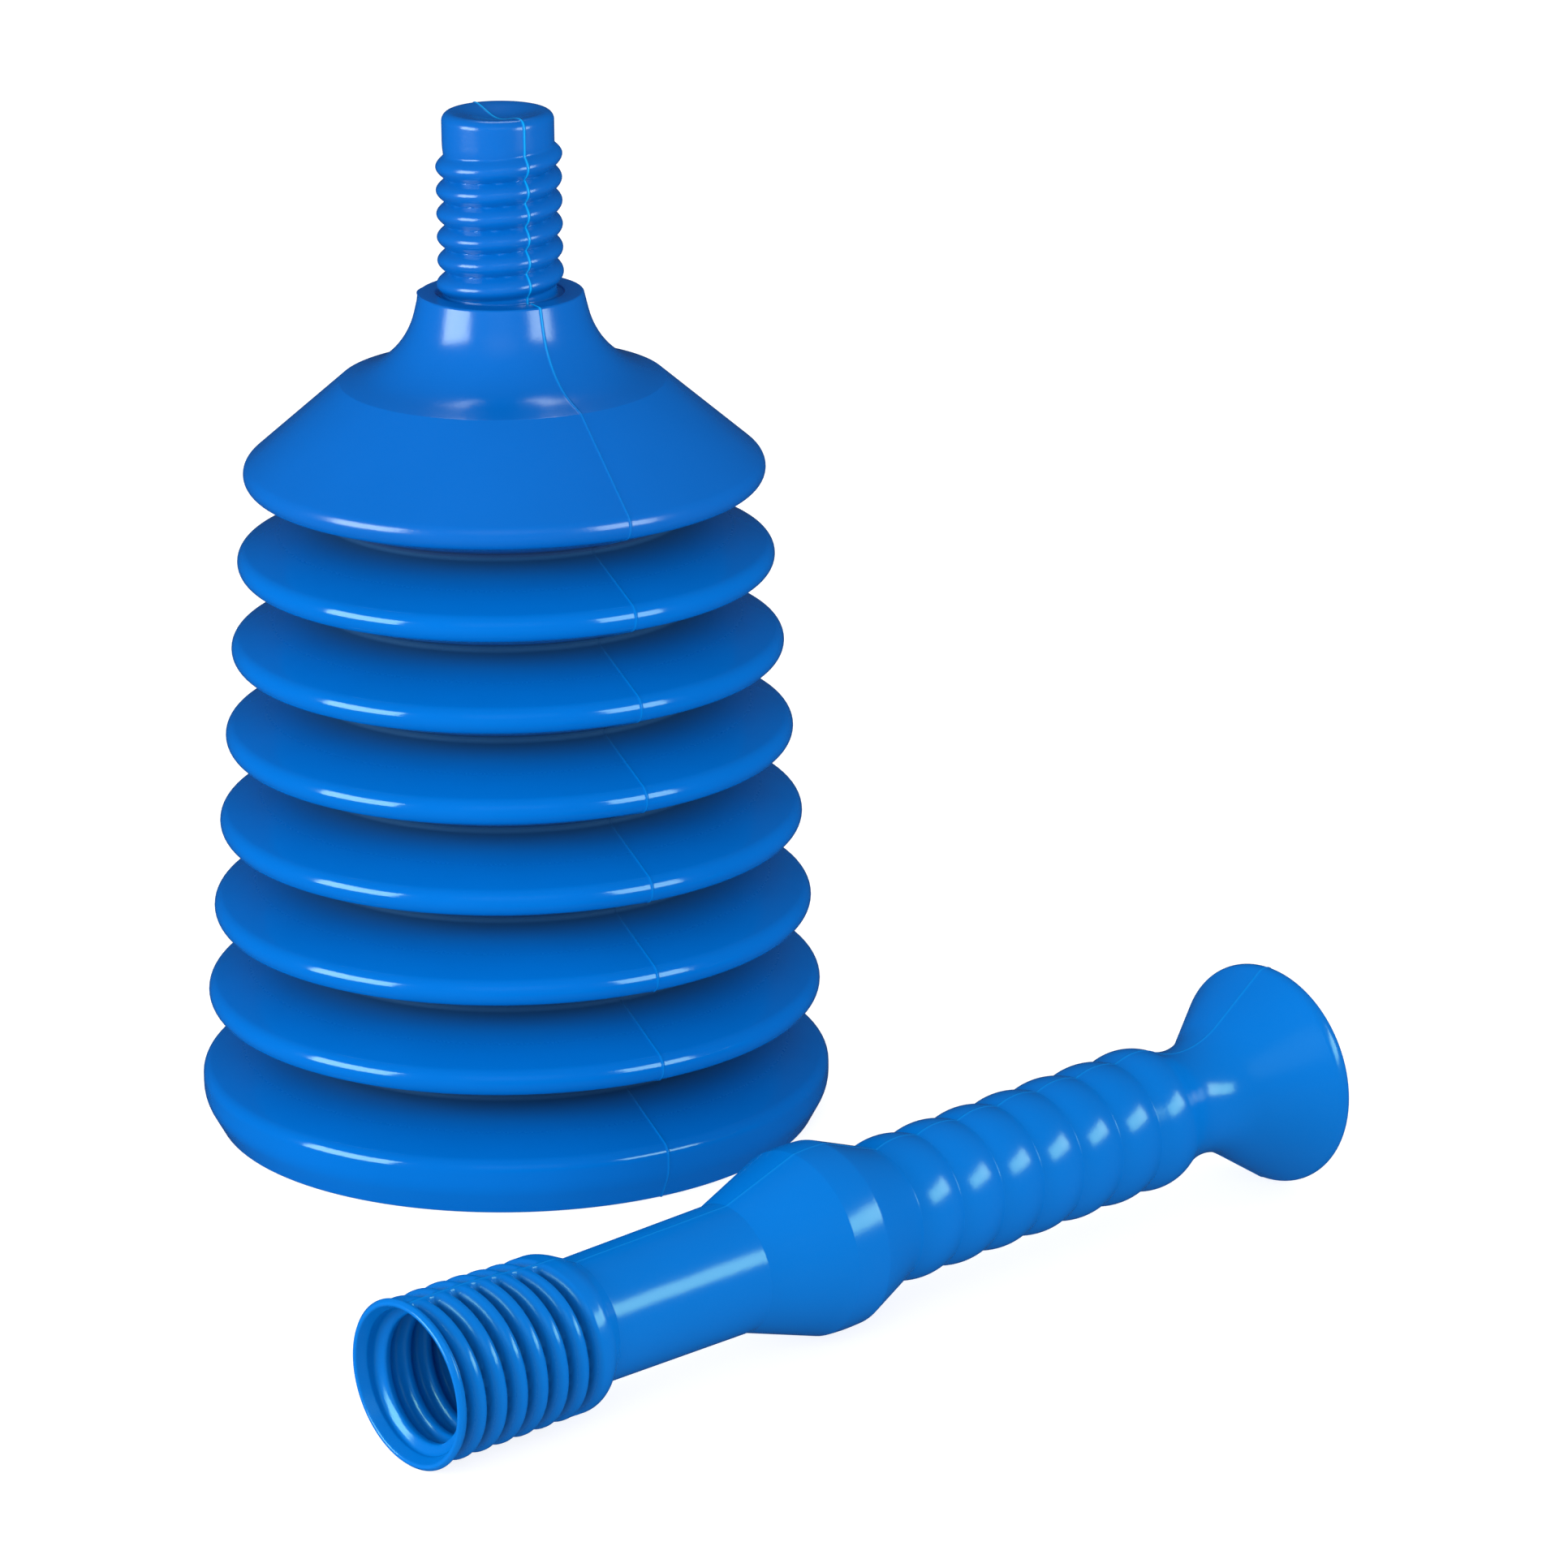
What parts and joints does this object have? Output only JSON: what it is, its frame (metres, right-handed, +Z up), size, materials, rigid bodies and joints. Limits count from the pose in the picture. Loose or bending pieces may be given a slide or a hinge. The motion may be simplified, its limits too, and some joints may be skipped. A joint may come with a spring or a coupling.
{
  "type": "bellows drain plunger",
  "caption": "Bellows drain plunger: stacked folds that widen to an open foot under a threaded stub, and a hollow handle with a threaded socket, lying unscrewed beside it.",
  "frame": {"origin": "centre of the bellows' open foot, at floor level", "axes": "+Z up along the bellows' axis; the handle lies on the floor on the -Y side, its knob towards +X and +Y"},
  "size_m": [0.2691, 0.3055, 0.2435],
  "materials": {
    "bellows_plastic": "glossy blue polyethylene",
    "handle_plastic": "glossy blue polyethylene"
  },
  "bodies": {
    "foot": {"bellows_foot": "bellows_plastic"},
    "neck": {"bellows_neck": "bellows_plastic"},
    "handle": {"handle": "handle_plastic"},
    "fold_2": {"bellows_fold_2": "bellows_plastic"},
    "fold_3": {"bellows_fold_3": "bellows_plastic"},
    "fold_4": {"bellows_fold_4": "bellows_plastic"},
    "fold_5": {"bellows_fold_5": "bellows_plastic"},
    "fold_6": {"bellows_fold_6": "bellows_plastic"},
    "fold_7": {"bellows_fold_7": "bellows_plastic"}
  },
  "joints": [
    {"name": "bellows_compress", "type": "slide", "parent": "foot", "child": "neck", "axis": [0, 0, -1], "range_m": [0, 0.075], "stiffness_N_per_m": 600, "springref_m": -0.004},
    {"name": "fold_2_follow", "type": "slide", "parent": "foot", "child": "fold_2", "axis": [0, 0, -1], "range_m": [0, 0.06905], "deforming": ["bellows_fold_2"]},
    {"name": "fold_3_follow", "type": "slide", "parent": "foot", "child": "fold_3", "axis": [0, 0, -1], "range_m": [0, 0.05655], "deforming": ["bellows_fold_3"]},
    {"name": "fold_4_follow", "type": "slide", "parent": "foot", "child": "fold_4", "axis": [0, 0, -1], "range_m": [0, 0.04405], "deforming": ["bellows_fold_4"]},
    {"name": "fold_5_follow", "type": "slide", "parent": "foot", "child": "fold_5", "axis": [0, 0, -1], "range_m": [0, 0.03155], "deforming": ["bellows_fold_5"]},
    {"name": "fold_6_follow", "type": "slide", "parent": "foot", "child": "fold_6", "axis": [0, 0, -1], "range_m": [0, 0.01905], "deforming": ["bellows_fold_6"]},
    {"name": "fold_7_follow", "type": "slide", "parent": "foot", "child": "fold_7", "axis": [0, 0, -1], "range_m": [0, 0.00655], "deforming": ["bellows_fold_7"]},
    {"name": "handle_lift", "type": "slide", "parent": "foot", "child": "handle", "axis": [0, 0, 1], "range_m": [0, 0.3]}
  ],
  "couplings": [
    {"joint": "fold_2_follow", "follows": "bellows_compress", "ratio": 0.91667},
    {"joint": "fold_3_follow", "follows": "bellows_compress", "ratio": 0.75},
    {"joint": "fold_4_follow", "follows": "bellows_compress", "ratio": 0.58333},
    {"joint": "fold_5_follow", "follows": "bellows_compress", "ratio": 0.41667},
    {"joint": "fold_6_follow", "follows": "bellows_compress", "ratio": 0.25},
    {"joint": "fold_7_follow", "follows": "bellows_compress", "ratio": 0.083333}
  ]
}
